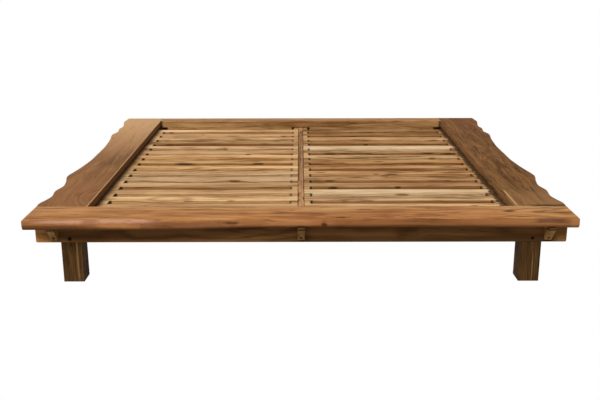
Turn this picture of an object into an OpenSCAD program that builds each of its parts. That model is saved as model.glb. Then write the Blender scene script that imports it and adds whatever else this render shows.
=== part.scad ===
// Low wooden bed. Four thick boards with hand-shaped outer edges lie on a frame of aprons and
// side rails, which four square legs carry. Two fields of slats fill the mattress recess: they
// bear on ledgers, and small blocks between them hold their spacing.
// Millimetres. X runs to the right, Y to the back, Z up. The origin is the middle of the plan, on
// the floor.

/* [Recess] */
// Width of the recess that the mattress drops into
recess_w = 1950; // [1850:10:2050]
// Length of the recess
recess_len = 2084; // [2000:4:2180]
// Height of the boards' top face above the floor
top_h = 315; // [285:5:380]

/* [Boards] */
// Thickness of the four boards
board_t = 45; // [35:1:60]
// Width of the front board
front_w = 218; // [200:2:250]
// Width of the back board
back_w = 110; // [96:2:140]
// Width of a side board at its waist
side_w = 205; // [190:1:230]
// Length of the scrolled stretch at each end of a side board
scroll_len = 950; // [800:10:980]
// Rise of the main scroll above the waist
scroll_rise = 37; // [15:1:50]
// Depth of the wane along the front edge
wane_depth = 47; // [20:1:60]
// Rounding along the long edges of the back board
board_ease = 4; // [2:0.5:8]
// Open joint at the front end of the right side board
open_joint = 2; // [0.4:0.1:4]

/* [Frame] */
// Height of the aprons and side rails
frame_h = 83; // [76:1:110]
// Thickness of an apron
apron_t = 30; // [26:1:34]
// Length of each apron end past its leg
apron_end = 110; // [95:5:130]
// Rounding of the lower corners of the apron ends
apron_corner = 8; // [4:0.5:14]
// Overhang of the front board past the front apron
front_overhang = 86; // [78:1:95]
// Overhang of the back board past the back apron
back_overhang = 56; // [50:1:62]
// Thickness of a side rail
rail_t = 36; // [30:1:38]
// Distance of a side rail behind the edge of the recess
rail_inset = 37; // [30:1:42]
// Thickness of the centre beam
beam_t = 27; // [18:1:30]
// Rounding of the edges of the frame pieces
ease = 2.5; // [1:0.5:4]

/* [Legs] */
// Width and depth of a leg
leg_w = 93; // [86:1:110]
// Distance of a leg behind the edge of the recess
leg_inset = 3; // [1:1:8]
// Width and depth of the foot under the centre beam
foot_w = 70; // [60:1:90]

/* [Slats] */
// Number of slats in each of the two fields
slat_count = 16; // [12:1:16]
// Width of a slat
slat_w = 76; // [60:1:90]
// Thickness of a slat
slat_t = 20; // [16:1:26]
// Gap between the last slat and the back board
last_gap = 66; // [50:2:80]
// Drop from the underside of the boards to the slats
slat_drop = 3; // [2:0.5:6]
// Clearance at the two ends of a slat
slat_clear = 3; // [1:0.5:5]
// Rounding of the long edges of a slat
slat_ease = 2; // [1:0.5:4]
// Width of the side ledgers and blocks that shows inside the recess
ledger_show = 40; // [30:1:60]
// Width of a centre ledger
centre_ledger_w = 36; // [24:1:45]
// Thickness of the ledgers
ledger_t = 30; // [24:1:36]
// Height of the cleats on the back apron
cleat_h = 40; // [30:1:44]
// Distance of the cleats' outer ends from the side boards
cleat_side = 48; // [45:1:80]
// Distance of the cleats' inner ends from the centre line
cleat_centre = 62; // [50:1:90]

/* [Brackets] */
// Width of a bracket
bracket_w = 31; // [25:1:45]
// Reach of a bracket under its board
bracket_reach = 72; // [60:1:76]
// Thickness of a bracket at its toe
bracket_toe = 7; // [5:0.5:12]
// Height of a bracket
bracket_h = 71; // [60:1:75]
// Distance of the outer brackets from the ends of the apron
bracket_end = 84; // [75:1:92]

/* [Joints and fixings] */
// Thickness of a tenon
tenon_t = 12; // [8:1:14]
// Height of a tenon
tenon_h = 36; // [26:1:38]
// Length of a tenon
tenon_len = 20; // [14:1:22]
// Height of the tenons above the underside of the frame
tenon_rise = 32; // [30:1:34]
// Diameter of a corner bolt
bolt_d = 8; // [6:1:10]
// Diameter of a bolt head
bolt_head_d = 13; // [12:0.5:16]
// Height of a bolt head
bolt_head_h = 8; // [6:0.5:9]
// Depth that a bolt head is sunk below the face of the apron
bolt_sink = 4; // [1:0.5:6]
// Height of the bolts above the underside of the frame
bolt_rise = 17.5; // [14:0.5:19]
// Length of a bolt in the end of a side rail
bolt_grip = 42; // [36:1:60]
// Diameter of a barrel nut
barrel_d = 12; // [11:0.5:16]
// Length of a barrel nut
barrel_len = 28; // [22:1:30]
// Distance of a barrel nut from the end of its rail
barrel_back = 34; // [26:1:36]
// Diameter of a dowel
dowel_d = 10; // [8:0.5:12]
// Length of a dowel
dowel_len = 40; // [30:2:44]
// Diameter of a wood screw
screw_d = 5; // [4:0.5:6]
// Diameter of a screw head
screw_head_d = 10; // [8:0.5:11]
// Height of a screw head
screw_head_h = 4; // [3:0.5:5]
// Depth of a screw in the piece that it holds to
screw_bite = 18; // [12:1:19]
// Clearance round tenons, dowels, bolts and screws
fit = 0.2; // [0.1:0.05:0.4]

/* [Hidden] */
$fn = 32;

FRONT_WOOD = "#a86f42";
SIDE_WOOD = "#8a6243";
FRAME_WOOD = "#7a5431";
SLAT_WOOD = "#b98f5d";
STEEL = "#3c3c3e";

// Levels, from the floor up
board_z = top_h - board_t;
frame_z = board_z - frame_h;
slat_z = board_z - slat_drop - slat_t;
ledger_z = slat_z - ledger_t;

// Plan lines across the bed
edge_x = recess_w / 2;
rail_x = edge_x + rail_inset;
rail_mid = rail_x + rail_t / 2;
leg_x = edge_x + leg_inset;
apron_x = leg_x + leg_w + apron_end;
ledger_x = edge_x - ledger_show;
slat_start = beam_t / 2 + slat_clear;
slat_len = rail_x - slat_clear - slat_start;

// Plan lines along the bed
bed_len = front_w + recess_len + back_w;
front_y = -bed_len / 2;
back_y = bed_len / 2;
recess_front = front_y + front_w;
recess_back = back_y - back_w;
apron_front = front_y + front_overhang;
apron_back = back_y - back_overhang;
rail_front = apron_front + leg_w;
rail_back = apron_back - leg_w;
rail_len = rail_back - rail_front;
slat_pitch = (recess_len - last_gap - slat_w) / (slat_count - 1);

// Shape of a side board's outer edge: place along the scrolled stretch and height of the scroll,
// as shares of scroll_len and scroll_rise, from each end of the board to the waist
FRONT_SCROLL = [
    [0, 0.84], [0.046, 0.92], [0.12, 0.5], [0.18, 0.24], [0.283, 0.51], [0.382, 0.13],
    [0.47, 0.4], [0.594, 1], [0.683, 0.73], [0.753, 0.49], [0.848, 0.24], [1, 0]
];
BACK_SCROLL = [
    [0, 1.05], [0.124, 1.24], [0.24, 0.78], [0.315, 0.54], [0.387, 0.78], [0.494, 0.5],
    [0.596, 0.95], [0.663, 0.76], [0.727, 0.51], [0.79, 0.35], [0.914, 0.12], [1, 0]
];

// Shape of the front edge from left to right: place as a share of half the board's length, and
// setback from the foremost point as a share of wane_depth
WANE_TOP = [
    [-1, 0], [-0.81, 0.3], [-0.67, 0.72], [-0.49, 0.2], [-0.26, 0.57], [0.05, 0.85],
    [0.25, 0.89], [0.48, 0.55], [0.73, 0.87], [0.92, 0.66], [1, 0.45]
];
WANE_NOSE = [[-1, 0], [-0.8, 0], [-0.55, 0.1], [-0.35, 0.25], [-0.15, 0.6], [0.35, 0.68], [1, 0.38]];
WANE_FOOT = [[-1, 0.25], [-0.6, 0.34], [-0.35, 0.55], [-0.15, 0.98], [0.42, 0.98], [1, 0.72]];
// Depth of the foremost line below the top face, as a share of the board's thickness
WANE_DROP = [[-1, 0.4], [-0.8, 0.45], [-0.6, 0.7], [0, 0.6], [1, 0.55]];
// Fullness of the section: how far it bulges from the top to the foremost line, and from there down
SHOULDER = [0.75, 0.25];
HEEL_DROP = 0.7;

front_half = edge_x + side_w + scroll_rise * FRONT_SCROLL[0][1];
side_len = recess_len + back_w;
edge_step = 20;
wane_steps = 56;
bend_steps = 3;

// Fixing places: x, y, z of the seat and the turn about Z of the way it is driven, 0 to the back
bracket_screw_rise = 13;
ledger_sink = rail_inset;
ledger_screws = 5;
centre_sink = 10;
centre_seat = beam_t / 2 + centre_ledger_w - centre_sink;
centre_stagger = 60;
cleat_sink = 6;
barrel_cover = 2;
tip_room = 1;
head_room = 1;
seat_room = 2;
screw_z = ledger_z + ledger_t / 2;
bolt_z = frame_z + bolt_rise;
tenon_z = frame_z + tenon_rise;
bracket_z = board_z - bracket_h;
bracket_screw_z = bracket_z + bracket_screw_rise;
bracket_seat = bracket_toe + seat_room;
bracket_x = apron_x - bracket_end;
cleat_len = edge_x - cleat_side - cleat_centre;
cleat_t = apron_back - apron_t - recess_back;

function ledger_row(i) = rail_front + rail_len * (i + 0.5) / ledger_screws;

FRONT_DOWELS = [-0.72, -0.3, 0.3, 0.72];
SIDE_DOWELS = [0.2, 0.4, 0.6, 0.8];
CORNER_DOWELS = [0.2, 0.5, 0.8];
BACK_DOWELS = [0.3, 0.7];
CLEAT_SCREWS = [0.1, 0.5, 0.9];

// Upright dowels in the aprons and rails, then lying dowels across the board joints
upright_dowels = concat(
    [for (u = FRONT_DOWELS) [u * edge_x, apron_front + apron_t / 2, board_z]],
    [for (u = FRONT_DOWELS) [u * edge_x, apron_back - apron_t / 2, board_z]],
    [for (s = [-1, 1], u = SIDE_DOWELS) [s * rail_mid, rail_front + u * rail_len, board_z]]
);
joint_z = board_z + board_t / 2;
front_joint_dowels = [
    for (s = [-1, 1], u = CORNER_DOWELS) [s * (edge_x + u * side_w), recess_front, joint_z, 0]
];
back_joint_dowels = [
    for (s = [-1, 1], u = BACK_DOWELS) [s * edge_x, recess_back + u * back_w, joint_z, 90]
];

// Smooth curve through [place, height] points that keeps each peak and valley where it is given
function rate(p, i) = (p[i + 1][1] - p[i][1]) / (p[i + 1][0] - p[i][0]);
function tangent(p, i) =
    i == 0 || i == len(p) - 1 || rate(p, i - 1) * rate(p, i) <= 0 ? 0
    : 2 * rate(p, i - 1) * rate(p, i) / (rate(p, i - 1) + rate(p, i));
function span_of(p, x, i = 0) = i >= len(p) - 2 || x <= p[i + 1][0] ? i : span_of(p, x, i + 1);
function blend(p, x, i) =
    let (h = p[i + 1][0] - p[i][0], t = (x - p[i][0]) / h)
    p[i][1] * (1 + 2 * t) * (1 - t) ^ 2 + p[i + 1][1] * t ^ 2 * (3 - 2 * t)
    + h * t * (1 - t) * (tangent(p, i) * (1 - t) - tangent(p, i + 1) * t);
function curve(p, x) = blend(p, x, span_of(p, x));

// Width of a side board at a distance from its front end
function side_width(s) =
    let (e = side_len - s)
    side_w + scroll_rise * (
        s < scroll_len ? curve(FRONT_SCROLL, s / scroll_len)
        : e < scroll_len ? curve(BACK_SCROLL, e / scroll_len)
        : 0
    );

// Cross-section of the front board at a share u of its half length, as [y, z] points
function bend(a, b, c, t) = (1 - t) ^ 2 * a + 2 * t * (1 - t) * b + t ^ 2 * c;
function wane_section(u) =
    let (
        top = [front_y + wane_depth * curve(WANE_TOP, u), top_h],
        nose = [front_y + wane_depth * curve(WANE_NOSE, u), top_h - board_t * curve(WANE_DROP, u)],
        foot = [front_y + wane_depth * curve(WANE_FOOT, u), board_z],
        shoulder = [top[0] + SHOULDER[0] * (nose[0] - top[0]), top_h + SHOULDER[1] * (nose[1] - top_h)],
        heel = [nose[0], nose[1] + HEEL_DROP * (board_z - nose[1])]
    )
    concat(
        [[recess_front, board_z], [recess_front, top_h]],
        [for (i = [0:bend_steps - 1]) bend(top, shoulder, nose, i / bend_steps)],
        [for (i = [0:bend_steps]) bend(nose, heel, foot, i / bend_steps)]
    );

// Rectangle with rounded corners
module eased_rect(a, b, r) {
    translate([r, 0]) square([a - 2 * r, b]);
    translate([0, r]) square([a, b - 2 * r]);
    for (x = [r, a - r], y = [r, b - r]) translate([x, y]) circle(r = r);
}

// Bars with eased long edges, from their lowest corner, along X and along Y
module bar_x(size, r) {
    rotate([90, 0, 90]) linear_extrude(size[0]) eased_rect(size[1], size[2], r);
}

module bar_y(size, r) {
    translate([0, size[1], 0]) rotate([90, 0, 0]) linear_extrude(size[1]) eased_rect(size[0], size[2], r);
}

// Post with all its edges eased, from its lowest corner
module post(size, r) {
    intersection() {
        linear_extrude(size[2]) eased_rect(size[0], size[1], r);
        bar_x(size, r);
        bar_y(size, r);
    }
}

// Turns what points along +Z to the way a fixing is driven
module drive(place) {
    translate([place[0], place[1], place[2]]) rotate([0, 0, place[3]]) rotate([-90, 0, 0]) children();
}

module side_mirror(side) {
    if (side < 0) mirror([1, 0, 0]) children();
    else children();
}

module end_mirror(end) {
    if (end > 0) mirror([0, 1, 0]) translate([0, -apron_front - apron_back, 0]) children();
    else children();
}

// Dowels and their holes
module upright_dowel(place, room = 0) {
    translate([place[0], place[1], place[2] - dowel_len / 2 - room])
        cylinder(d = dowel_d + 2 * (room > 0 ? fit : 0), h = dowel_len + 2 * room);
}

module lying_dowel(place, length, room = 0) {
    drive(place) translate([0, 0, -length / 2 - room])
        cylinder(d = dowel_d + 2 * (room > 0 ? fit : 0), h = length + 2 * room);
}

foot_dowel = [0, 0, frame_z + (ledger_z - frame_z) / 2, 90];

// Wood screws: the seat of the head is at the origin, and the shank points along +Z
module screw(length) {
    translate([0, 0, -screw_head_h]) cylinder(d = screw_head_d, h = screw_head_h);
    cylinder(d = screw_d, h = length);
}

module screw_hole(length, sink) {
    translate([0, 0, -sink]) cylinder(d = screw_head_d + 2 * head_room, h = sink);
    translate([0, 0, -tip_room]) cylinder(d = screw_d + 2 * fit, h = length + 2 * tip_room);
}

function ledger_places(side) = [
    for (i = [0:ledger_screws - 1]) [side * (ledger_x + ledger_sink), ledger_row(i), screw_z, -90 * side]
];
function centre_places(side) = [
    for (i = [0:ledger_screws - 1])
        [side * centre_seat, ledger_row(i) + side * centre_stagger / 2, screw_z, 90 * side]
];
function cleat_places(side) = [
    for (u = CLEAT_SCREWS)
        [side * (cleat_centre + u * cleat_len), recess_back + cleat_sink, board_z - cleat_h / 2, 0]
];
function front_bracket_place(x) = [x, apron_front - bracket_seat, bracket_screw_z, 0];
function side_bracket_place(side) =
    [side * (rail_x + rail_t + bracket_seat), 0, bracket_screw_z, 90 * side];

ledger_screw_len = ledger_show + rail_inset - ledger_sink + screw_bite;
centre_screw_len = centre_ledger_w - centre_sink + screw_bite;
cleat_screw_len = cleat_t - cleat_sink + screw_bite;
bracket_screw_len = bracket_seat + screw_bite;

// Corner bolt, in the front right corner
bolt_len = leg_w - bolt_head_h - bolt_sink + bolt_grip;
bolt_place = [rail_mid, apron_front + bolt_sink + bolt_head_h, bolt_z, 0];

module bolt() {
    difference() {
        union() {
            translate([0, 0, -bolt_head_h]) cylinder(d = bolt_head_d, h = bolt_head_h);
            cylinder(d = bolt_d, h = bolt_len);
        }
        translate([0, 0, -bolt_head_h]) cylinder(d = bolt_head_d / 2, h = bolt_head_h / 2, $fn = 6);
    }
}

module bolt_hole() {
    translate([0, 0, -bolt_head_h - bolt_sink - tip_room])
        cylinder(d = bolt_head_d + 4 * fit, h = bolt_head_h + bolt_sink + tip_room);
    cylinder(d = bolt_d + 2 * fit, h = bolt_len + tip_room);
}

module barrel_place() {
    translate([rail_x, rail_front + barrel_back, bolt_z]) rotate([0, 90, 0]) children();
}

// Boards
module front_board() {
    stations = [for (i = [0:wane_steps]) 2 * i / wane_steps - 1];
    sections = [for (u = stations) wane_section(u)];
    n = len(sections[0]);
    points = [for (i = [0:wane_steps], p = sections[i]) [stations[i] * front_half, p[0], p[1]]];
    left_end = [for (j = [0:n - 1]) n - 1 - j];
    right_end = [for (j = [0:n - 1]) wane_steps * n + j];
    skin = [
        for (i = [0:wane_steps - 1], j = [0:n - 1])
            let (a = i * n + j, b = i * n + (j + 1) % n)
            each [[a, b, b + n], [a, b + n, a + n]]
    ];
    color(FRONT_WOOD) difference() {
        polyhedron(points, concat([left_end, right_end], skin), convexity = 4);
        for (p = upright_dowels) if (p[1] < recess_front) upright_dowel(p, tip_room);
        for (p = front_joint_dowels) lying_dowel(p, dowel_len, tip_room);
    }
}

module back_board() {
    size = [recess_w - 2 * fit, back_w, board_t];
    color(SIDE_WOOD) difference() {
        translate([-size[0] / 2, recess_back, board_z]) bar_x(size, board_ease);
        for (p = upright_dowels) if (p[1] > recess_back) upright_dowel(p, tip_room);
        for (p = back_joint_dowels) lying_dowel(p, dowel_len, tip_room);
    }
}

module side_board(side) {
    gap = side > 0 ? open_joint : fit;
    steps = floor((side_len - gap) / edge_step);
    outer = [
        for (i = [0:steps])
            let (s = gap + (side_len - gap) * i / steps)
            [edge_x + side_width(s), recess_front + s]
    ];
    outline = concat([[edge_x, back_y], [edge_x, recess_front + gap]], outer);
    color(SIDE_WOOD) difference() {
        side_mirror(side) translate([0, 0, board_z]) linear_extrude(board_t) polygon(outline);
        for (p = upright_dowels) if (p[0] * side > edge_x) upright_dowel(p, tip_room);
        for (p = front_joint_dowels) if (p[0] * side > 0) lying_dowel(p, dowel_len, tip_room);
        for (p = back_joint_dowels) if (p[0] * side > 0) lying_dowel(p, dowel_len, tip_room);
    }
}

module left_board() { side_board(-1); }

module right_board() { side_board(1); }

// Frame. An apron runs across two legs, which are notched for it, and takes the beam's tenon.
module apron_blank() {
    size = [2 * apron_x, apron_t, frame_h];
    intersection() {
        translate([-apron_x, apron_front, frame_z]) bar_x(size, ease);
        translate([-apron_x, apron_front + apron_t, frame_z]) rotate([90, 0, 0])
            linear_extrude(apron_t) eased_rect(size[0], 2 * frame_h, apron_corner);
    }
}

module tenon(room) {
    translate([-tenon_t / 2 - room, 0, tenon_z - room])
        cube([tenon_t + 2 * room, tenon_len + (room > 0 ? tip_room : 0), tenon_h + 2 * room]);
}

module apron(end) {
    color(FRAME_WOOD) difference() {
        end_mirror(end) difference() {
            apron_blank();
            translate([0, apron_front + apron_t, 0]) mirror([0, 1, 0]) tenon(fit);
            for (side = [-1, 1]) side_mirror(side) drive(bolt_place) bolt_hole();
        }
        for (p = upright_dowels) if (p[1] * end > rail_back) upright_dowel(p, tip_room);
        children();
    }
}

module front_apron() {
    apron(-1) for (x = [-bracket_x, 0, bracket_x])
        drive(front_bracket_place(x)) screw_hole(bracket_screw_len, 0);
}

module back_apron() {
    apron(1) for (side = [-1, 1], p = cleat_places(side)) drive(p) screw_hole(cleat_screw_len, 0);
}

module side_rail(side) {
    size = [rail_t, rail_len, frame_h];
    color(FRAME_WOOD) difference() {
        union() {
            side_mirror(side) translate([rail_x, rail_front, frame_z]) bar_y(size, ease);
            side_mirror(side) for (end = [-1, 1]) end_mirror(end)
                translate([rail_mid, rail_front, 0]) mirror([0, 1, 0]) tenon(0);
        }
        side_mirror(side) for (end = [-1, 1]) end_mirror(end) {
            drive(bolt_place) bolt_hole();
            barrel_place() cylinder(d = barrel_d + 2 * fit, h = rail_t - barrel_cover);
        }
        for (p = upright_dowels) if (p[0] * side > edge_x) upright_dowel(p, tip_room);
        for (p = ledger_places(side)) drive(p) screw_hole(ledger_screw_len, 0);
        drive(side_bracket_place(side)) screw_hole(bracket_screw_len, 0);
    }
}

module left_rail() { side_rail(-1); }

module right_rail() { side_rail(1); }

module centre_beam() {
    beam_len = apron_back - apron_front - 2 * apron_t;
    beam_h = slat_z + slat_t - frame_z;
    color(FRAME_WOOD) difference() {
        union() {
            translate([-beam_t / 2, apron_front + apron_t, frame_z])
                bar_y([beam_t, beam_len, beam_h], ease / 2);
            for (end = [-1, 1]) end_mirror(end)
                translate([0, apron_front + apron_t, 0]) mirror([0, 1, 0]) tenon(0);
        }
        for (side = [-1, 1], p = centre_places(side)) drive(p) screw_hole(centre_screw_len, 0);
        lying_dowel(foot_dowel, foot_w, tip_room);
    }
}

// Legs. The top is notched for the apron.
module leg(side, end) {
    color(FRAME_WOOD) side_mirror(side) end_mirror(end) difference() {
        translate([leg_x, apron_front, 0]) post([leg_w, leg_w, board_z], ease);
        translate([leg_x - tip_room, apron_front - tip_room, frame_z])
            cube([leg_w + 2 * tip_room, apron_t + tip_room, frame_h + tip_room]);
        translate([rail_mid, rail_front, 0]) mirror([0, 1, 0]) tenon(fit);
        drive(bolt_place) bolt_hole();
    }
}

module front_left_leg() { leg(-1, -1); }

module front_right_leg() { leg(1, -1); }

module back_left_leg() { leg(-1, 1); }

module back_right_leg() { leg(1, 1); }

// Foot with a slot that straddles the beam
module centre_foot() {
    color(FRAME_WOOD) difference() {
        translate([-foot_w / 2, -foot_w / 2, 0]) post([foot_w, foot_w, ledger_z], ease);
        translate([-beam_t / 2, -foot_w, frame_z]) cube([beam_t, 2 * foot_w, frame_h]);
        lying_dowel(foot_dowel, foot_w, tip_room);
    }
}

// Brackets: a gusset that tapers from the board down to its toe
module gusset() {
    rotate([90, 0, 0]) translate([0, 0, -bracket_w / 2]) linear_extrude(bracket_w)
        polygon([[0, bracket_z], [bracket_toe, bracket_z], [bracket_reach, board_z], [0, board_z]]);
}

module front_bracket(x) {
    color(SLAT_WOOD) difference() {
        translate([x, apron_front, 0]) rotate([0, 0, -90]) gusset();
        drive(front_bracket_place(x)) screw_hole(bracket_screw_len, bracket_reach);
    }
}

module front_left_bracket() { front_bracket(-bracket_x); }

module front_centre_bracket() { front_bracket(0); }

module front_right_bracket() { front_bracket(bracket_x); }

module side_brackets() {
    color(FRAME_WOOD) for (side = [-1, 1]) difference() {
        side_mirror(side) translate([rail_x + rail_t, 0, 0]) gusset();
        drive(side_bracket_place(side)) screw_hole(bracket_screw_len, bracket_reach);
    }
}

// Ledgers that the slats bear on
module side_ledger(side) {
    size = [ledger_show + rail_inset, rail_len, ledger_t];
    color(FRAME_WOOD) difference() {
        side_mirror(side) translate([ledger_x, rail_front, ledger_z]) bar_y(size, ease);
        for (p = ledger_places(side)) drive(p) screw_hole(ledger_screw_len, 2 * ledger_sink);
    }
}

module left_ledger() { side_ledger(-1); }

module right_ledger() { side_ledger(1); }

module centre_ledgers() {
    size = [centre_ledger_w, rail_len, ledger_t];
    color(FRAME_WOOD) for (side = [-1, 1]) difference() {
        side_mirror(side) translate([beam_t / 2, rail_front, ledger_z]) bar_y(size, ease);
        for (p = centre_places(side)) drive(p) screw_hole(centre_screw_len, 2 * centre_sink);
    }
}

module back_cleats() {
    size = [cleat_len, cleat_t, cleat_h];
    color(SIDE_WOOD) for (side = [-1, 1]) difference() {
        side_mirror(side) translate([cleat_centre, recess_back, board_z - cleat_h]) bar_x(size, ease);
        for (p = cleat_places(side)) drive(p) screw_hole(cleat_screw_len, 2 * cleat_sink);
    }
}

// Slats, and the blocks between them
function slat_y(i) = recess_front + (i - 1) * slat_pitch;
function slat_name(field, i) = str(field, "_slat_", i < 10 ? "0" : "", i);

module slat(side, i) {
    color(SLAT_WOOD) side_mirror(side) translate([slat_start, slat_y(i), slat_z])
        bar_x([slat_len, slat_w, slat_t], slat_ease);
}

module block(x, y, width, length) {
    translate([x, y, slat_z]) bar_y([width, length, slat_t], slat_ease / 2);
}

module side_blocks() {
    width = ledger_show + rail_inset - slat_clear;
    gap = slat_pitch - slat_w - 2 * fit;
    color(SLAT_WOOD) for (side = [-1, 1], i = [1:slat_count - 1]) side_mirror(side)
        block(ledger_x, slat_y(i) + slat_w + fit, width, gap);
}

module centre_blocks() {
    width = beam_t / 2 + centre_ledger_w - slat_start;
    color(SLAT_WOOD) for (side = [-1, 1], i = [1:slat_count]) {
        gap = i < slat_count ? slat_pitch - slat_w : last_gap;
        side_mirror(side) block(slat_start, slat_y(i) + slat_w + fit, width, gap - 2 * fit);
    }
}

// Fixings
module corner_bolts() {
    color(STEEL) for (side = [-1, 1], end = [-1, 1])
        side_mirror(side) end_mirror(end) drive(bolt_place) bolt();
}

module barrel_nuts() {
    color(STEEL) for (side = [-1, 1], end = [-1, 1]) side_mirror(side) end_mirror(end) difference() {
        barrel_place() cylinder(d = barrel_d, h = barrel_len);
        drive(bolt_place) bolt_hole();
    }
}

module wood_screws() {
    color(STEEL) {
        for (x = [-bracket_x, 0, bracket_x]) drive(front_bracket_place(x)) screw(bracket_screw_len);
        for (side = [-1, 1]) {
            drive(side_bracket_place(side)) screw(bracket_screw_len);
            for (p = ledger_places(side)) drive(p) screw(ledger_screw_len);
            for (p = centre_places(side)) drive(p) screw(centre_screw_len);
            for (p = cleat_places(side)) drive(p) screw(cleat_screw_len);
        }
    }
}

module dowels() {
    color(SLAT_WOOD) {
        for (p = upright_dowels) upright_dowel(p);
        for (p = concat(front_joint_dowels, back_joint_dowels)) lying_dowel(p, dowel_len);
        lying_dowel(foot_dowel, foot_w);
    }
}

front_board();
back_board();
left_board();
right_board();
front_apron();
back_apron();
left_rail();
right_rail();
centre_beam();
front_left_leg();
front_right_leg();
back_left_leg();
back_right_leg();
centre_foot();
front_left_bracket();
front_centre_bracket();
front_right_bracket();
side_brackets();
left_ledger();
right_ledger();
centre_ledgers();
back_cleats();
side_blocks();
centre_blocks();
corner_bolts();
barrel_nuts();
wood_screws();
dowels();
for (i = [1:slat_count]) {
    slat(-1, i);
    slat(1, i);
}
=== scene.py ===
import math
import random

import bpy
from mathutils import Matrix, Vector, noise


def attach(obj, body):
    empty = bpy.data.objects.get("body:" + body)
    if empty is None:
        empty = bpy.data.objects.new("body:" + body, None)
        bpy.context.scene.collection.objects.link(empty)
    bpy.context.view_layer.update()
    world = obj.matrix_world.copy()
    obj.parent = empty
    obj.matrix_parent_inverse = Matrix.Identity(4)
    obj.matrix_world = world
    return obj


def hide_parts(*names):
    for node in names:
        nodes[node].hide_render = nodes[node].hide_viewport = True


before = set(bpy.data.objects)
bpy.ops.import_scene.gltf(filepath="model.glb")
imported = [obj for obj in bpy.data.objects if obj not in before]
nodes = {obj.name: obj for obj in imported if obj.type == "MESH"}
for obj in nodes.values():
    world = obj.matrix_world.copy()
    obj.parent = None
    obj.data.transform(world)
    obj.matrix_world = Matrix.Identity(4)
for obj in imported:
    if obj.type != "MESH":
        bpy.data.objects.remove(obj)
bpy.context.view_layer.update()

# Sizes, as the CAD source has them (mm)
RECESS_W, RECESS_LEN, TOP_H, BOARD_T = 1950, 2084, 315, 45
FRONT_W, BACK_W, SIDE_W = 218, 110, 205
SCROLL_LEN, SCROLL_RISE, WANE_DEPTH, OPEN_JOINT, FIT = 950, 37, 47, 2, 0.2
SLAT_COUNT, SLAT_W, SLAT_DROP, LAST_GAP = 16, 76, 3, 66
FRONT_SCROLL = [
    (0, 0.84), (0.046, 0.92), (0.12, 0.5), (0.18, 0.24), (0.283, 0.51), (0.382, 0.13),
    (0.47, 0.4), (0.594, 1), (0.683, 0.73), (0.753, 0.49), (0.848, 0.24), (1, 0),
]
BACK_SCROLL = [
    (0, 1.05), (0.124, 1.24), (0.24, 0.78), (0.315, 0.54), (0.387, 0.78), (0.494, 0.5),
    (0.596, 0.95), (0.663, 0.76), (0.727, 0.51), (0.79, 0.35), (0.914, 0.12), (1, 0),
]
WANE_TOP = [
    (-1, 0), (-0.81, 0.3), (-0.67, 0.72), (-0.49, 0.2), (-0.26, 0.57), (0.05, 0.85),
    (0.25, 0.89), (0.48, 0.55), (0.73, 0.87), (0.92, 0.66), (1, 0.45),
]
WANE_NOSE = [(-1, 0), (-0.8, 0), (-0.55, 0.1), (-0.35, 0.25), (-0.15, 0.6), (0.35, 0.68), (1, 0.38)]
WANE_FOOT = [(-1, 0.25), (-0.6, 0.34), (-0.35, 0.55), (-0.15, 0.98), (0.42, 0.98), (1, 0.72)]
WANE_DROP = [(-1, 0.4), (-0.8, 0.45), (-0.6, 0.7), (0, 0.6), (1, 0.55)]
SHOULDER, HEEL_DROP = (0.75, 0.25), 0.7
FRONT_STEPS, SIDE_STEPS = 480, 438
FRONT_EASE = ((2.0, 0.0), (0.6, 0.7), (0.0, 2.2))

BOARD_Z = TOP_H - BOARD_T
EDGE_X = RECESS_W / 2
FRONT_Y = -(FRONT_W + RECESS_LEN + BACK_W) / 2
RECESS_FRONT = FRONT_Y + FRONT_W
SIDE_LEN = RECESS_LEN + BACK_W
FRONT_HALF = EDGE_X + SIDE_W + SCROLL_RISE * FRONT_SCROLL[0][1]
SLAT_PITCH = (RECESS_LEN - LAST_GAP - SLAT_W) / (SLAT_COUNT - 1)

# The same in metres, where the materials need them
TOP = TOP_H / 1000
SLAT_TOP = (BOARD_Z - SLAT_DROP) / 1000
JOINT = RECESS_FRONT / 1000
BACK_FACE = (RECESS_FRONT + RECESS_LEN) / 1000


def curve(p, x):
    """Height at x of the smooth curve through the points p that keeps each peak and valley."""
    def rate(i):
        return (p[i + 1][1] - p[i][1]) / (p[i + 1][0] - p[i][0])

    def tangent(i):
        if i == 0 or i == len(p) - 1 or rate(i - 1) * rate(i) <= 0:
            return 0
        return 2 * rate(i - 1) * rate(i) / (rate(i - 1) + rate(i))

    i = next((k for k in range(len(p) - 1) if x <= p[k + 1][0]), len(p) - 2)
    h = p[i + 1][0] - p[i][0]
    t = (x - p[i][0]) / h
    return (p[i][1] * (1 + 2 * t) * (1 - t) ** 2 + p[i + 1][1] * t ** 2 * (3 - 2 * t)
            + h * t * (1 - t) * (tangent(i) * (1 - t) - tangent(i + 1) * t))


def side_width(s):
    e = SIDE_LEN - s
    if s < SCROLL_LEN:
        return SIDE_W + SCROLL_RISE * curve(FRONT_SCROLL, s / SCROLL_LEN)
    if e < SCROLL_LEN:
        return SIDE_W + SCROLL_RISE * curve(BACK_SCROLL, e / SCROLL_LEN)
    return SIDE_W


def bend(a, b, c, t):
    return tuple((1 - t) ** 2 * i + 2 * t * (1 - t) * j + t ** 2 * k for i, j, k in zip(a, b, c))


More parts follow.
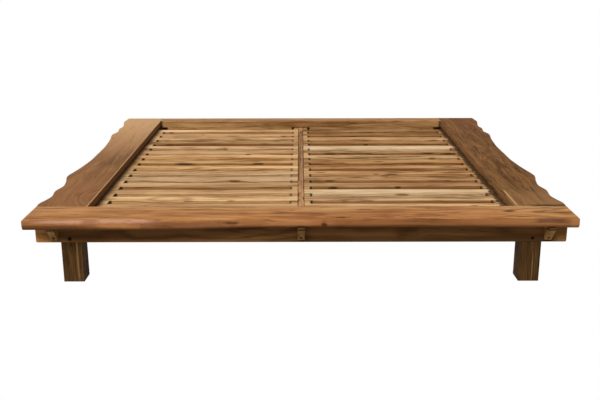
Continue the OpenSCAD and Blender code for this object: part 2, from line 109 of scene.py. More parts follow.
# Meshes of the shaped boards
def loft(name, rings, cad_node):
    """A closed skin through rings of points (mm), each ring at one station, with flat ends."""
    n = len(rings[0])
    verts = [tuple(c / 1000 for c in p) for ring in rings for p in ring]
    faces = []
    for i in range(len(rings) - 1):
        for j in range(n):
            a, b = i * n + j, i * n + (j + 1) % n
            faces.append((a, b, b + n, a + n))
    faces.append(tuple(reversed(range(n))))
    faces.append(tuple((len(rings) - 1) * n + j for j in range(n)))
    mesh = bpy.data.meshes.new(name)
    mesh.from_pydata(verts, [], faces)
    mesh.update()
    obj = bpy.data.objects.new(name, mesh)
    bpy.context.scene.collection.objects.link(obj)
    for poly in mesh.polygons:
        poly.use_smooth = True
    mesh.polygons[-1].use_smooth = False
    mesh.polygons[-2].use_smooth = False
    bpy.context.view_layer.objects.active = obj
    obj.select_set(True)
    bpy.ops.object.mode_set(mode="EDIT")
    bpy.ops.mesh.select_all(action="SELECT")
    bpy.ops.mesh.normals_make_consistent(inside=False)
    bpy.ops.object.mode_set(mode="OBJECT")
    obj.select_set(False)
    mesh.set_sharp_from_angle(angle=math.radians(35))
    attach(obj, "root")
    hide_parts(cad_node)
    return obj


def rounded(points, radii, steps=4):
    """The closed polygon with each corner cut by a smooth bend of the given reach."""
    out = []
    n = len(points)
    for i, r in enumerate(radii):
        p, a, b = Vector(points[i]), Vector(points[i - 1]), Vector(points[(i + 1) % n])
        if r == 0:
            out.append(tuple(p))
            continue
        start, end = p + (a - p).normalized() * r, p + (b - p).normalized() * r
        out += [bend(start, p, end, k / steps) for k in range(steps + 1)]
    return out


def wane_ring(u, inset=0.0):
    """Section of the front board at u, from -1 at its left end to 1 at its right, as (x, y, z) points."""
    x = u * FRONT_HALF
    hand = 1.1 * noise.noise(Vector((x / 55, 3.1, 0))) + 1.6 * noise.noise(Vector((x / 170, 7.7, 0)))
    top = (FRONT_Y + WANE_DEPTH * curve(WANE_TOP, u) + 1.2 + hand, TOP_H)
    nose = (FRONT_Y + WANE_DEPTH * curve(WANE_NOSE, u) + 0.6 + 0.5 * abs(hand),
            TOP_H - BOARD_T * curve(WANE_DROP, u))
    foot = (FRONT_Y + WANE_DEPTH * curve(WANE_FOOT, u) + 0.6 * hand, BOARD_Z)
    shoulder = (top[0] + SHOULDER[0] * (nose[0] - top[0]), TOP_H + SHOULDER[1] * (nose[1] - TOP_H))
    heel = (nose[0], nose[1] + HEEL_DROP * (BOARD_Z - nose[1]))
    front = [bend(top, shoulder, nose, k / 8) for k in range(8)]
    front += [bend(nose, heel, foot, k / 7) for k in range(8)]
    soft = bend((top[0] + 5, TOP_H), top, front[1], 0.5)
    under = bend((foot[0] + 3, BOARD_Z), foot, front[-2], 0.5)
    loop = [(RECESS_FRONT - 1.2, BOARD_Z), (RECESS_FRONT, BOARD_Z + 1.2), (RECESS_FRONT, TOP_H - 1.6),
            (RECESS_FRONT - 0.5, TOP_H - 0.5), (RECESS_FRONT - 1.6, TOP_H), (RECESS_FRONT - 60, TOP_H),
            (top[0] + 30, TOP_H), (top[0] + 5, TOP_H), soft] + front[1:-1] + [under, (foot[0] + 3, BOARD_Z)]
    if inset:
        cy, cz = (FRONT_Y + RECESS_FRONT) / 2, (TOP_H + BOARD_Z) / 2
        half_y, half_z = FRONT_W / 2, BOARD_T / 2
        loop = [(cy + (y - cy) * (1 - inset / half_y), cz + (z - cz) * (1 - inset / half_z)) for y, z in loop]
    return [(x, y, z) for y, z in loop]


def eased_end(u):
    """The rings that ease the end of the front board at u, outermost first."""
    return [[(x - u * inside, y, z) for x, y, z in wane_ring(u, inset)] for inset, inside in FRONT_EASE]


middle = [wane_ring(-1 + 2 * i / FRONT_STEPS) for i in range(1, FRONT_STEPS)]
rings = eased_end(-1) + middle + eased_end(1)[::-1]
front_board = loft("front_plank", rings, "front_board")


def side_ring(side, s, inset=0.0):
    """Section of a side board at the distance s behind its front end."""
    width = side_width(s) + 0.5 * noise.noise(Vector((s / 60, side * 9.3, 0)))
    box = [(EDGE_X + inset, BOARD_Z + inset), (EDGE_X + inset, TOP_H - inset),
           (EDGE_X + width - inset, TOP_H - inset), (EDGE_X + width - inset, BOARD_Z + inset)]
    loop = rounded(box, [1.5, 2.2, 3.5, 2.5])
    return [(side * x, RECESS_FRONT + s, z) for x, z in loop]


def side_board(side, name, cad_node):
    start = OPEN_JOINT if side > 0 else FIT
    places = [start + 1.3 + (SIDE_LEN - 2.8 - start) * i / SIDE_STEPS for i in range(SIDE_STEPS + 1)]
    rings = [[(x, RECESS_FRONT + start, z) for x, y, z in side_ring(side, places[0], 1.3)]]
    rings += [side_ring(side, s) for s in places]
    rings += [[(x, RECESS_FRONT + SIDE_LEN, z) for x, y, z in side_ring(side, places[-1], 1.5)]]
    return loft(name, rings, cad_node)


left_board = side_board(-1, "left_side_board", "left_board")
right_board = side_board(1, "right_side_board", "right_board")


# Materials
class Net:
    """Builds a material's nodes. A value is a number, a tuple or another node's output."""

    def __init__(self, name):
        self.mat = bpy.data.materials.new(name)
        self.mat.use_nodes = True
        self.tree = self.mat.node_tree
        self.tree.nodes.clear()

    def add(self, kind, inputs, **props):
        node = self.tree.nodes.new(kind)
        for key, value in props.items():
            setattr(node, key, value)
        for key, value in inputs.items():
            if isinstance(value, bpy.types.NodeSocket):
                self.tree.links.new(value, node.inputs[key])
            else:
                node.inputs[key].default_value = value
        return node

    def math(self, op, a, b=0.0):
        return self.add("ShaderNodeMath", {0: a, 1: b}, operation=op).outputs[0]

    def total(self, *terms):
        """Sum of the terms; a pair (value, share) adds share times the value's distance from a half."""
        out = None
        for term in terms:
            if isinstance(term, tuple):
                term = self.math("MULTIPLY", self.math("SUBTRACT", term[0], 0.5), term[1])
            out = term if out is None else self.math("ADD", out, term)
        return out

    def span(self, value, lo, hi, to_lo=0.0, to_hi=1.0):
        """A smooth step of value from lo to hi."""
        inputs = {0: value, 1: lo, 2: hi, 3: to_lo, 4: to_hi}
        return self.add("ShaderNodeMapRange", inputs, interpolation_type="SMOOTHSTEP").outputs[0]

    def noise(self, x, y, z, detail=3.0, rough=0.55, distortion=0.0, scale=1.0):
        point = self.add("ShaderNodeCombineXYZ", {0: x, 1: y, 2: z}).outputs[0]
        inputs = {"Vector": point, "Scale": scale, "Detail": detail, "Roughness": rough,
                  "Distortion": distortion}
        return self.add("ShaderNodeTexNoise", inputs, noise_dimensions="3D")

    def mix(self, fac, a, b, blend="MIX"):
        node = self.add("ShaderNodeMix", {0: fac, 6: a, 7: b}, data_type="RGBA", blend_type=blend)
        return node.outputs[2]

    def ramp(self, fac, stops):
        node = self.add("ShaderNodeValToRGB", {0: fac})
        points = node.color_ramp.elements
        while len(points) < len(stops):
            points.new(0.5)
        for point, (place, colour) in zip(points, stops):
            point.position = place
            point.color = colour
        return node.outputs[0]

    def finish(self, colour, roughness, height, bump, specular=0.5, metallic=0.0):
        normal = self.add("ShaderNodeBump", {"Height": height, "Distance": bump, "Strength": 1.0}).outputs[0]
        inputs = {"Base Color": colour, "Roughness": roughness, "Normal": normal, "Metallic": metallic,
                  "Specular IOR Level": specular}
        shader = self.add("ShaderNodeBsdfPrincipled", inputs)
        self.add("ShaderNodeOutputMaterial", {"Surface": shader.outputs[0]})
        return self.mat


def rgb(r, g, b):
    """Colour from screen values 0 to 255."""
    def linear(c):
        c /= 255
        return c / 12.92 if c <= 0.04045 else ((c + 0.055) / 1.055) ** 2.4
    return (linear(r), linear(g), linear(b), 1.0)


AXES = {"x": (0, 1, 2), "y": (1, 0, 2), "z": (2, 0, 1)}


def wood(name, grain, tones, seed, pith=(0.0, -0.15), rings=150.0, warp=0.035, figure=0.3, contrast=1.0,
         stripe=0.0, veins=0.45, vein_pitch=44.0, tint=None, knots=(), dashes=(), streaks=(), bands=(),
         mottle=0.0, cell=None, roughness=0.5, gloss=0.03):
    """Solid wood: rings round a wandering pith line, long streaks, veins, fibres, pores and knots.

    grain is the axis of the fibres; pith is where the tree's middle lies across it, in metres.
    knots are (along, across, size, depth), streaks are (across, along from, along to, width, colour, share),
    dashes are dark flecks along the fibres, ((x, y, z), half length, half thickness, share),
    bands are (colour, share, [(axis, from, to, ragged), ...]) for wear, sapwood, and painted light and shade
    at a given place; ragged, in metres, may be left out. mottle is the share of dark blotches over it all.
    cell is (start, pitch) along Y for a node of several pieces, so that each gets its own tone.
    """
    dark, mid, light = tones
    deep = tuple(c * 0.4 for c in dark[:3]) + (1.0,)
    net = Net(name)
    where = net.add("ShaderNodeTexCoord", {}).outputs["Object"]
    split = net.add("ShaderNodeSeparateXYZ", {0: where}).outputs
    u, v, w = (split[i] for i in AXES[grain])
    off = [seed * 7.31 % 19, seed * 3.17 % 17, seed * 5.71 % 13]
    tone = 0.5
    if cell:
        index = net.math("FLOOR", net.math("DIVIDE", net.math("SUBTRACT", split[1], cell[0]), cell[1]))
        side = net.math("SIGN", split[0])
        own = net.add("ShaderNodeCombineXYZ", {0: index, 1: side, 2: float(seed)}).outputs[0]
        tone = net.add("ShaderNodeTexWhiteNoise", {0: own}, noise_dimensions="3D").outputs[0]
        u = net.math("ADD", u, net.math("MULTIPLY", tone, 9.0))
    us = net.math("ADD", u, off[0])

    def field(along, across, detail=3.0, rough=0.55, distortion=0.0):
        return net.noise(net.math("MULTIPLY", us, along), net.math("MULTIPLY", vs, across),
                         net.math("MULTIPLY", ws, across), detail, rough, distortion).outputs["Fac"]

    push, knot_mask = 0.0, 0.0
    for along, across, size, depth in knots:
        du = net.math("MULTIPLY", net.math("SUBTRACT", u, along), 0.45)
        dv = net.math("SUBTRACT", v, across)
        far = net.math("SQRT", net.math("ADD", net.math("MULTIPLY", du, du), net.math("MULTIPLY", dv, dv)))
        push = net.math("ADD", push, net.span(far, size * 3.5, 0.0, 0.0, size * 1.7))
        wobble = net.noise(net.math("MULTIPLY", u, 40.0), net.math("MULTIPLY", v, 90.0), off[1])
        ragged = net.math("ADD", far, net.math("MULTIPLY", wobble.outputs["Fac"], size * 1.1))
        knot_mask = net.math("ADD", knot_mask, net.span(ragged, size * 1.3, size * 0.5, 0.0, depth))
    drift = net.noise(net.math("MULTIPLY", us, 1.1), net.math("MULTIPLY", v, 3.2),
                      net.math("MULTIPLY", w, 3.2), 2.0)
    parts = net.add("ShaderNodeSeparateColor", {0: drift.outputs["Color"]}).outputs
    v2 = net.total(v, (parts[0], warp * 2), push)
    w2 = net.total(w, (parts[1], warp * 2))
    vs, ws = net.math("ADD", v2, off[1]), net.math("ADD", w2, off[2])
    dv, dw = net.math("SUBTRACT", v2, pith[0]), net.math("SUBTRACT", w2, pith[1])
    radius = net.math("SQRT", net.math("ADD", net.math("MULTIPLY", dv, dv), net.math("MULTIPLY", dw, dw)))
    jitter = net.noise(net.math("MULTIPLY", us, 2.0), net.math("MULTIPLY", radius, 20.0), off[1], 3.0)
    turn = net.total(net.math("MULTIPLY", radius, rings * 2 * math.pi), (jitter.outputs["Fac"], 16.0))
    wave = net.math("ADD", net.math("MULTIPLY", net.math("SINE", turn), 0.5), 0.5)
    ring = net.math("POWER", wave, 1.8)
    broad = field(0.9, 17.0, 5.0, 0.62, 0.4)
    fine = field(3.0, 130.0, 4.0, 0.6)
    fibre = field(22.0, 900.0, 2.0)
    patch = field(1.7, 5.0)
    pore = net.span(fibre, 0.64, 0.74)
    level = net.total(0.5, (broad, 1.1 * contrast), (fine, 0.7 * contrast), (ring, -figure),
                      (fibre, 0.25 * contrast), (patch, 0.5 * contrast), (tone, 0.3))
    if stripe:
        level = net.total(level, (field(0.8, 11.0, 2.0), stripe),
                          (field(6.0, 26.0, 3.0, 0.6, 0.6), stripe * 0.8))
    colour = net.ramp(level, [(0.12, dark), (0.47, mid), (0.85, light)])
    if tint:
        colour = net.mix(net.math("MULTIPLY", net.span(parts[2], 0.38, 0.66), 0.5), colour, tint)
    torn = net.noise(*(split[k] for k in range(3)), 4.0, 0.65, scale=38.0).outputs["Fac"] if bands else 0.5
    for shade, share, places in bands:
        mask = net.span(broad, 0.1, 0.5, share * 0.75, share)
        for axis, lo, hi, *ragged in places:
            at = net.total(split[axis], (torn, ragged[0])) if ragged else split[axis]
            mask = net.math("MULTIPLY", mask, net.span(at, lo, hi))
        colour = net.mix(mask, colour, shade)
    if mottle:
        blotch = net.span(field(5.0, 34.0, 5.0, 0.65, 0.4), 0.47, 0.72, 0.0, mottle)
        colour = net.mix(blotch, colour, deep)
    for across, lo, hi, width, shade, share in streaks:
        wander = net.noise(net.math("MULTIPLY", us, 3.0), off[2], across * 50, 3.0).outputs["Fac"]
        away = net.math("ABSOLUTE", net.total(net.math("SUBTRACT", v, across), (wander, width * 2.2)))
        run = net.math("MULTIPLY", net.span(u, lo - 0.03, lo + 0.03), net.span(u, hi + 0.03, hi - 0.03))
        strength = net.math("MULTIPLY", net.span(away, width, width * 0.3), run)
        broken = net.span(fine, 0.2, 0.62, share * 0.55, share)
        colour = net.mix(net.math("MULTIPLY", strength, broken), colour, shade)
    for place, length, thick, share in dashes:
        reach = [thick] * 3
        reach["xyz".index(grain)] = length
        offset = [net.math("DIVIDE", net.math("SUBTRACT", split[k], place[k]), reach[k]) for k in range(3)]
        square = [net.math("MULTIPLY", d, d) for d in offset]
        far = net.total(net.math("SQRT", net.total(*square)), (field(18.0, 90.0, 2.0), 1.6))
        colour = net.mix(net.span(far, 1.0, 0.35, 0.0, share), colour, deep)
    crest = net.math("ABSOLUTE", net.math("SUBTRACT", field(1.5, vein_pitch, 4.0, 0.5, 0.3), 0.5))
    line = net.span(crest, 0.034, 0.0)
    gate = net.span(field(2.2, 9.0, 2.0), 0.47, 0.6)
    colour = net.mix(net.math("MULTIPLY", net.math("MULTIPLY", line, gate), veins), colour, deep)
    if knots:
        colour = net.mix(net.math("MINIMUM", knot_mask, 0.9), colour, deep)
    colour = net.mix(net.math("MULTIPLY", pore, 0.4), colour, deep)
    rough = net.total(roughness, (fine, 0.2), (patch, 0.15))
    height = net.total(net.math("MULTIPLY", pore, -0.5), (fibre, 0.45), (fine, 0.6), (ring, 0.2))
    return net.finish(colour, rough, height, 0.0005, specular=gloss)


FRONT = (rgb(110, 68, 34), rgb(176, 126, 72), rgb(208, 162, 106))
SIDE = (rgb(76, 49, 27), rgb(134, 93, 54), rgb(174, 130, 84))
RIGHT = (rgb(66, 41, 20), rgb(116, 78, 42), rgb(150, 109, 66))
BACK = (rgb(104, 67, 36), rgb(156, 112, 68), rgb(198, 155, 104))
FRAME = (rgb(48, 31, 16), rgb(84, 58, 33), rgb(120, 89, 55))
RIGHT_LEG = (rgb(38, 25, 12), rgb(75, 51, 28), rgb(114, 84, 50))
# Painted light: the aprons' wood is lighter than the frame's, to offset the front board's shadow on the front
# apron
APRON = (rgb(90, 58, 30), rgb(128, 87, 48), rgb(156, 112, 68))
BEAM = (rgb(102, 68, 43), rgb(166, 119, 79), rgb(208, 160, 114))
GUSSET = (rgb(104, 68, 30), rgb(166, 120, 64), rgb(206, 158, 98))
PALE = (rgb(176, 132, 84), rgb(212, 176, 130), rgb(232, 204, 164))
HONEY = (rgb(126, 84, 46), rgb(188, 145, 98), rgb(224, 186, 140))
OLIVE = (rgb(112, 76, 40), rgb(170, 128, 80), rgb(208, 168, 116))
BROWN = (rgb(92, 56, 28), rgb(160, 114, 68), rgb(200, 156, 108))


def dress(name, material):
    """Gives a CAD node's material slots this material."""
    for slot in nodes[name].material_slots:
        slot.material = material


# Bands are placed by axis, in metres
X, Y, Z = 0, 1, 2
BEVEL = (Z, 0.3146, 0.309)
# The top of the front board's bevel, where a highlight is painted at the left
BEVEL_TOP = (Z, 0.3143, 0.312)
LEFT_INNER_FACE = (X, -0.9768, -0.976)
RIGHT_INNER_FACE = (X, 0.9765, 0.9755)
# Painted shade on the slats and blocks beside the right and left boards
RIGHT_BOARD_SHADE = (X, 0.943, 0.957, 0.1)
LEFT_BOARD_SHADE = (X, -0.962, -0.974, 0.012)
flecks = random.Random(5)


def scatter(count, place, length, thick, share):
    """Dark flecks: place draws a point, and the others are ranges to draw from."""
    return [(place(), flecks.uniform(*length), flecks.uniform(*thick), flecks.uniform(*share))
            for k in range(count)]


front_flecks = scatter(
    14, lambda: (flecks.uniform(-1.15, 1.15), flecks.uniform(-1.16, -1.0), TOP),
    (0.02, 0.06), (0.006, 0.012), (0.4, 0.8))
front_flecks += scatter(
    26, lambda: (flecks.uniform(-1.1, 1.15), -1.184, flecks.uniform(0.283, 0.308)),
    (0.02, 0.09), (0.004, 0.01), (0.25, 0.5))
front_flecks += [((1.06 + 0.05 * k, -1.08 + 0.02 * k, TOP), 0.05, 0.014, 0.5) for k in range(3)]
front_flecks += [((0.93, -1.07, TOP), 0.045, 0.02, 0.8), ((0.1, -1.178, 0.285), 0.02, 0.012, 0.8)]
front_knots = [
    (0.10, -1.178, 0.013, 0.5), (0.93, -1.07, 0.016, 0.5),
    (-0.62, -1.19, 0.012, 0.5), (-0.2, -1.1, 0.012, 0.3),
]
front_bands = [
    (rgb(158, 104, 64), 0.7, [BEVEL]),
    (rgb(136, 88, 52), 0.7, [BEVEL, (X, 0.08, 0.18)]),
    (rgb(180, 124, 78), 0.8, [BEVEL, (X, -0.18, -0.12), (X, 0.07, 0.0)]),
    # Painted highlight: pinkish along the top of the bevel at the left end
    (rgb(192, 148, 126), 0.7,
     [BEVEL_TOP, (Z, 0.2985, 0.3065, 0.02), (X, -0.56, -0.68, 0.1), (X, -1.2, -1.1)]),
    # A browner break in that painted highlight
    (rgb(142, 94, 60), 0.7, [BEVEL_TOP, (X, -0.965, -0.935, 0.03), (X, -0.865, -0.9, 0.03)]),
    (rgb(112, 74, 42), 0.8, [(Z, 0.298, 0.29, 0.004), (X, -0.9, -0.98)]),
    (rgb(110, 68, 46), 0.45, [(Z, 0.31, 0.301, 0.02), (X, -0.8, -0.6, 0.3), (X, -0.2, -0.4, 0.3)]),
    (rgb(90, 62, 50), 0.7,
     [(Z, 0.3146, 0.311), (Z, 0.295, 0.302, 0.012), (X, 1.0, 1.05, 0.06), (X, 1.17, 1.13, 0.04)]),
    (rgb(170, 120, 74), 0.8, [BEVEL, (X, 1.165, 1.185)]),
]
front_board.data.materials.append(wood(
    "front_wood", "x", FRONT, 3, pith=(-1.09, 0.05), rings=90, figure=0.3, contrast=1.35, stripe=0.7,
    veins=0.6, vein_pitch=26.0, mottle=0.4, tint=rgb(178, 112, 66), roughness=0.5, gloss=0.015,
    knots=front_knots, dashes=front_flecks, bands=front_bands,
))
left_board.data.materials.append(wood(
    "left_board_wood", "y", SIDE, 11, pith=(-1.07, 0.17), rings=110, warp=0.05, figure=0.08, contrast=0.8,
    stripe=0.45, veins=0.35, knots=[(-0.78, -1.07, 0.035, 0.35)], tint=rgb(144, 95, 64), gloss=0.01,
    bands=[
        # Painted sheen: the far part of the left board lighter
        (rgb(206, 162, 116), 0.85, [(Y, -0.2, 1.1)]),
        # Painted highlight: a light line along the inner top edge, fading out towards the back
        (rgb(200, 154, 110), 0.8, [(X, -0.983, -0.981), (Z, 0.3122, 0.3132), (Y, 0.7, 0.1)]),
        # Painted shade: the inner face, which looks away from the key lamp, darker, and darkest at its foot
        (rgb(108, 77, 48), 0.9, [LEFT_INNER_FACE]),
        (rgb(54, 38, 24), 0.8, [LEFT_INNER_FACE, (Z, 0.292, 0.28, 0.03)]),
    ],
))
right_board.data.materials.append(wood(
    "right_board_wood", "y", RIGHT, 23, pith=(1.10, 0.2), rings=100, warp=0.05, figure=0.14, contrast=0.85,
    stripe=0.5, veins=0.8, mottle=0.55, tint=rgb(128, 80, 46), gloss=0.005,
    bands=[
        (rgb(158, 118, 78), 0.5, [(Y, -0.5, -0.9)]),
        # Painted light on the inner face, which faces the key lamp, and painted shade at its foot
        (rgb(162, 120, 80), 0.8, [RIGHT_INNER_FACE]),
        (rgb(58, 40, 25), 0.65, [RIGHT_INNER_FACE, (Z, 0.283, 0.273, 0.05)]),
        (rgb(40, 22, 12), 0.9, [(Y, JOINT + 0.024, JOINT + 0.015, 0.014), (X, 1.0, 1.1)]),
    ],
    streaks=[(0.99, -0.98, -0.72, 0.006, rgb(206, 162, 112), 0.85)],
))
back_front = (Y, BACK_FACE + 0.003, BACK_FACE + 0.001)
# Painted shade in both corners of the back board's front face, beside the side boards
corners = [(rgb(64, 42, 26), 0.85, [(X, side * 0.956, side * 0.97, 0.02), back_front]) for side in (-1, 1)]
corners.append((rgb(150, 106, 64), 0.45, [(Z, 0.3135, 0.3145)]))
dress("back_board", wood("back_board_wood", "x", BACK, 31, pith=(1.2, 0.1), contrast=1.1, stripe=0.8,
                         veins=0.6, gloss=0.02, bands=corners))
dress("back_cleats", wood("cleat_wood", "x", BACK, 37, pith=(1.1, 0.1), contrast=1.2, stripe=0.8, gloss=0.02))
beam_flecks = scatter(
    36, lambda: (flecks.choice((-0.012, -0.012, 0.012, 0.0)), flecks.uniform(-0.97, 1.02), SLAT_TOP),
    (0.015, 0.05), (0.003, 0.006), (0.5, 0.9))
dress("centre_beam", wood("beam_wood", "y", BEAM, 39, pith=(0.3, 0.2), contrast=1.2, stripe=0.6, mottle=0.3,
                          dashes=beam_flecks, gloss=0.01))

apron_light_and_shade = [
    # Painted shade over the lower right of the apron's face, where the lamp reaches under the front board
    (rgb(70, 47, 24), 0.85, [(Z, 0.235, 0.205), (X, -0.4, 0.1)]),
    # Painted light on both ends of the apron, brighter at the left
    (rgb(236, 166, 96), 0.85, [(X, -1.08, -1.16)]),
    (rgb(160, 114, 66), 0.8, [(X, 1.1, 1.15)]),
]
# Darker round each bolt in the apron's face, wider at the left
BOLT_X, APRON_FACE, BOLT_Z = 1.03, -1.12, 0.2045
bolt_marks = [((side * BOLT_X, APRON_FACE, BOLT_Z), reach, reach, 0.9)
               for side, reach in ((-1, 0.013), (1, 0.0095))]
for k, name in enumerate(["front_apron", "back_apron", "left_rail", "right_rail",
                          "left_ledger", "right_ledger", "centre_ledgers"]):
    apron = name.endswith("apron")
    grain, tones = ("x", APRON) if apron else ("y", FRAME)
    dress(name, wood(name + "_wood", grain, tones, 41 + k, pith=(0.9, 0.4), contrast=0.3, gloss=0.02,
                     bands=apron_light_and_shade if apron else (),
                     dashes=bolt_marks if name == "front_apron" else ()))

leg_streaks = {
    "front_left_leg": [(-1.002, 0.0, 0.22, 0.006, rgb(146, 110, 68), 0.8),
                       (-0.982, 0.0, 0.15, 0.003, rgb(124, 92, 56), 0.7)],
    "front_right_leg": [(1.037, 0.0, 0.12, 0.003, rgb(150, 112, 68), 0.75)],
}
leg_knots = {"front_left_leg": [(0.172, -1.024, 0.01, 0.7)]}
for k, name in enumerate(["front_left_leg", "front_right_leg", "back_left_leg", "back_right_leg",
                          "centre_foot"]):
    tones = RIGHT_LEG if name == "front_right_leg" else FRAME
    dress(name, wood(name + "_wood", "z", tones, 53 + k, pith=(0.3, -0.9), figure=0.25, gloss=0.005,
                     mottle=0.4, streaks=leg_streaks.get(name, ()), knots=leg_knots.get(name, ())))
for k, name in enumerate(["front_left_bracket", "front_centre_bracket", "front_right_bracket",
                          "side_brackets"]):
    # Painted shade on the top of each bracket, under the front board's overhang
    dress(name, wood(name + "_wood", "z", GUSSET, 61 + k, pith=(0.2, -0.9), contrast=1.3, stripe=0.8,
                     bands=[(rgb(64, 44, 24), 0.85, [(Z, 0.2565, 0.2605)])]))

rng = random.Random(7)
KINDS = {
    "right_slat_02": HONEY, "right_slat_03": HONEY, "right_slat_04": PALE, "right_slat_10": OLIVE,
    "right_slat_12": PALE, "right_slat_14": HONEY, "left_slat_09": OLIVE, "left_slat_13": OLIVE,
}
LIGHT = (
    "left_slat_03", "left_slat_10", "left_slat_11", "left_slat_14",
    "left_slat_12", "left_slat_15", "left_slat_16", "right_slat_12",
)
DARK = ("left_slat_13", "right_slat_14", "right_slat_15", "right_slat_16", "right_slat_11")
BRIGHT_FACE = ("right_slat_04", "right_slat_07", "right_slat_10", "right_slat_12", "right_slat_14")
BROWN_FACE = ("left_slat_05", "left_slat_09", "left_slat_13", "left_slat_16")
# Behind these, the left field is paler and less orange
NEAR_SLATS = 10
FEATURES = {
    "left_slat_09": [(0.049, -0.72, -0.62, 0.007, rgb(52, 34, 26), 0.95)],
    "left_slat_13": [(0.567, -0.9, -0.05, 0.004, rgb(120, 66, 38), 0.7)],
}

def shifted(colour, lift, hue):
    """The colour made lighter by lift and warmer by hue."""
    return tuple(min(1.0, c * lift * (1 + hue * k)) for c, k in zip(colour[:3], (1, 0, -2))) + (1.0,)


def slat_bands(name, front):
    """A slat's browner front face, with painted shade at its foot, beside the blocks' ends and beside both
    boards.
    """
    brown = name in BROWN_FACE or (name.startswith("right") and name not in BRIGHT_FACE)
    face = [(Y, front + 0.0025, front + 0.0008)]
    return [
        (rgb(132, 84, 44), 0.5 if brown else 0.08, face),
        # Painted shade towards the foot of the front face
        (rgb(112, 68, 34), 0.55 if brown else 0.12, face + [(Z, SLAT_TOP - 0.004, SLAT_TOP - 0.013)]),
        # Painted shadows on the front faces beside the blocks' ends
        (rgb(34, 22, 14), 0.9, face + [(X, -0.919, -0.929)]),
        (rgb(52, 34, 21), 0.85, face + [(X, 0.924, 0.931)]),
        (rgb(30, 20, 13), 0.9, face + [(X, 0.06, 0.053), (X, 0.0, 0.01)]),
        (rgb(90, 58, 36), 0.7, face + [(X, -0.062, -0.053), (X, 0.0, -0.01)]),
        # Painted shade beside both boards
        (rgb(58, 40, 24), 0.9, [RIGHT_BOARD_SHADE]),
        (rgb(84, 58, 36), 0.6, [LEFT_BOARD_SHADE]),
    ]


for field in ("left", "right"):
    for i in range(1, SLAT_COUNT + 1):
        name = f"{field}_slat_{i:02d}"
        base = KINDS.get(name, HONEY if field == "left" else BROWN)
        lift, hue = rng.uniform(0.96, 1.06), rng.uniform(-0.04, 0.05)
        lift *= 1.08 if name in LIGHT else 0.88 if name in DARK else 1.0
        if field == "left" and i > NEAR_SLATS:
            lift, hue = lift * 1.04, hue - 0.03
        shades = [shifted(colour, lift, hue) for colour in base]
        front = (RECESS_FRONT + (i - 1) * SLAT_PITCH) / 1000
        y = front + SLAT_W / 2000
        pith = (y + rng.uniform(-0.12, 0.12), SLAT_TOP + rng.choice((-1, 1)) * rng.uniform(0.05, 0.2))
        middle = -0.51 if field == "left" else 0.51
        knots = [(middle + rng.uniform(-0.42, 0.42), y + rng.uniform(-0.035, 0.035),
                  rng.uniform(0.006, 0.012), 0.8)]
        if rng.random() < 0.4 or base is PALE:
            knots = []
        dashes = []
        for k in range(rng.randint(1, 4)):
            spot = (middle + rng.uniform(-0.42, 0.42), rng.choice((front, y)),
                    SLAT_TOP - rng.uniform(0, 0.01))
            dashes.append((spot, rng.uniform(0.02, 0.06), rng.uniform(0.004, 0.01), rng.uniform(0.5, 0.9)))
        contrast, stripe, veins = (1.0, 0.55, 0.5) if field == "left" else (1.15, 0.9, 0.75)
        dress(name, wood(name + "_wood", "x", shades, rng.uniform(1, 90), pith=pith, rings=110, figure=0.35,
                         contrast=contrast, stripe=stripe, veins=veins, vein_pitch=24.0, knots=knots,
                         dashes=dashes, streaks=FEATURES.get(name, ()), bands=slat_bands(name, front),
                         roughness=0.6, gloss=0.02))

blocks = (JOINT, SLAT_PITCH / 1000)
SIDE_END, CENTRE_END = 0.935, 0.0495
side_ends = [
    # The blocks' inner end faces nearly black: darker end grain, and painted shade
    (rgb(34, 22, 14), 0.95, [(X, -SIDE_END - 0.003, -SIDE_END - 0.0005), (X, 0.0, -0.1)]),
    (rgb(56, 36, 22), 0.9, [(X, SIDE_END + 0.006, SIDE_END + 0.001), (X, 0.0, 0.1)]),
    (rgb(150, 108, 66), 0.6, [(X, 0.9, 0.93)]),
    # Painted shade beside both boards
    (rgb(54, 37, 22), 0.9, [RIGHT_BOARD_SHADE]),
    (rgb(84, 58, 36), 0.6, [LEFT_BOARD_SHADE]),
]
centre_ends = [
    # Painted shade at the outer ends of the centre blocks, darker at the right
    (rgb(34, 22, 14), 0.95, [(X, CENTRE_END - 0.008, CENTRE_END - 0.002)]),
    (rgb(90, 58, 34), 0.8, [(X, 0.008 - CENTRE_END, 0.002 - CENTRE_END)]),
]
dress("side_blocks", wood("side_block_wood", "x", HONEY, 71, pith=(0.9, 0.4), contrast=1.3, stripe=1.0,
                          cell=blocks, bands=side_ends, gloss=0.02))
dress("centre_blocks", wood("centre_block_wood", "x", OLIVE, 73, pith=(0.1, 0.4), contrast=1.3, stripe=1.0,
                            cell=blocks, bands=centre_ends, gloss=0.02))
dress("dowels", wood("dowel_wood", "z", PALE, 79))


def steel(name, low, high):
    """Blackened steel with a worn, uneven surface, between two grey levels."""
    net = Net(name)
    where = net.add("ShaderNodeTexCoord", {}).outputs["Object"]
    x, y, z = net.add("ShaderNodeSeparateXYZ", {0: where}).outputs
    grit = net.noise(x, y, z, 5.0, 0.6, scale=420.0).outputs["Fac"]
    cloud = net.noise(x, y, z, 3.0, scale=60.0).outputs["Fac"]
    colour = net.ramp(cloud, [(0.3, rgb(low, low, low)), (0.7, rgb(high, high, high))])
    return net.finish(colour, net.total(0.6, (grit, 0.3)), grit, 0.0002, metallic=0.3, specular=0.1)


dress("corner_bolts", steel("bolt_black", 8, 16))
screw_black = steel("screw_black", 24, 44)
dress("barrel_nuts", screw_black)
dress("wood_screws", screw_black)


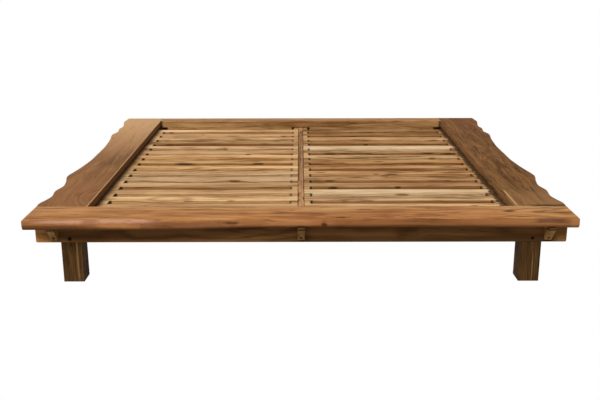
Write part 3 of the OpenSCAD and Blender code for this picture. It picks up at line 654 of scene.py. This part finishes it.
# Floor, light and camera
FLOOR_SIZE, FLOOR_DROP, FLOOR_GREY = 80, 0.0005, 0.3
FILL_STRENGTH, FILL_COLOUR = 0.22, (1, 0.98, 0.95, 1)
SENSOR, LENS = 36, 50.05
CAMERA_PLACE, CAMERA_PITCH, CAMERA_ROLL = (-0.005, -4.64, 1.3993), 16.11, -0.1


def direct_view(tree):
    """Is 1 where the camera sees the backdrop, straight, in a gloss or through glass."""
    path = tree.nodes.new("ShaderNodeLightPath").outputs
    total = path["Is Camera Ray"]
    for ray in ("Is Glossy Ray", "Is Transmission Ray"):
        larger = tree.nodes.new("ShaderNodeMath")
        larger.operation = "MAXIMUM"
        tree.links.new(total, larger.inputs[0])
        tree.links.new(path[ray], larger.inputs[1])
        total = larger.outputs[0]
    return total


def backdrop(tree, lit_kind, colour, white_kind, output_kind):
    """White in a direct view, and for the light that it gives a shader of this colour, which is returned."""
    tree.nodes.clear()
    lit = tree.nodes.new(lit_kind)
    lit.inputs["Color"].default_value = colour
    white = tree.nodes.new(white_kind)
    white.inputs["Color"].default_value = (1, 1, 1, 1)
    choose = tree.nodes.new("ShaderNodeMixShader")
    tree.links.new(direct_view(tree), choose.inputs[0])
    tree.links.new(lit.outputs[0], choose.inputs[1])
    tree.links.new(white.outputs[0], choose.inputs[2])
    out = tree.nodes.new(output_kind)
    tree.links.new(choose.outputs[0], out.inputs[0])
    return lit


bpy.ops.mesh.primitive_plane_add(size=FLOOR_SIZE, location=(0, 0, -FLOOR_DROP))
floor = bpy.context.object
floor.name = "floor"
pale = bpy.data.materials.new("floor_white")
pale.use_nodes = True
grey = (FLOOR_GREY, FLOOR_GREY, FLOOR_GREY, 1)
backdrop(pale.node_tree, "ShaderNodeBsdfDiffuse", grey, "ShaderNodeEmission", "ShaderNodeOutputMaterial")
floor.data.materials.append(pale)

world = bpy.data.worlds.new("studio")
bpy.context.scene.world = world
world.use_nodes = True
fill = backdrop(world.node_tree, "ShaderNodeBackground", FILL_COLOUR, "ShaderNodeBackground",
                "ShaderNodeOutputWorld")
fill.inputs["Strength"].default_value = FILL_STRENGTH


def sun(name, energy, angle, around, above, colour):
    """A distant lamp; around is its angle from the front, to the left if positive, above its height."""
    light = bpy.data.lights.new(name, "SUN")
    light.energy = energy
    light.angle = math.radians(angle)
    light.color = colour
    lamp = bpy.data.objects.new(name, light)
    bpy.context.scene.collection.objects.link(lamp)
    around, above = math.radians(around), math.radians(above)
    level = math.cos(above)
    toward = Vector((math.sin(around) * level, math.cos(around) * level, -math.sin(above)))
    lamp.rotation_euler = toward.to_track_quat("-Z", "Y").to_euler()


sun("key", energy=2.65, angle=24, around=28, above=48, colour=(1, 0.985, 0.96))
sun("second", energy=0.6, angle=28, around=-34, above=48, colour=(1, 0.98, 0.95))

camera = bpy.data.objects.new("camera", bpy.data.cameras.new("camera"))
bpy.context.scene.collection.objects.link(camera)
camera.data.sensor_width = SENSOR
camera.data.lens = LENS
camera.location = CAMERA_PLACE
pitch = Matrix.Rotation(math.radians(90 - CAMERA_PITCH), 3, "X")
roll = Matrix.Rotation(math.radians(CAMERA_ROLL), 3, "Z")
camera.rotation_euler = (pitch @ roll).to_euler()
bpy.context.scene.camera = camera
bpy.context.scene.view_settings.view_transform = "Standard"
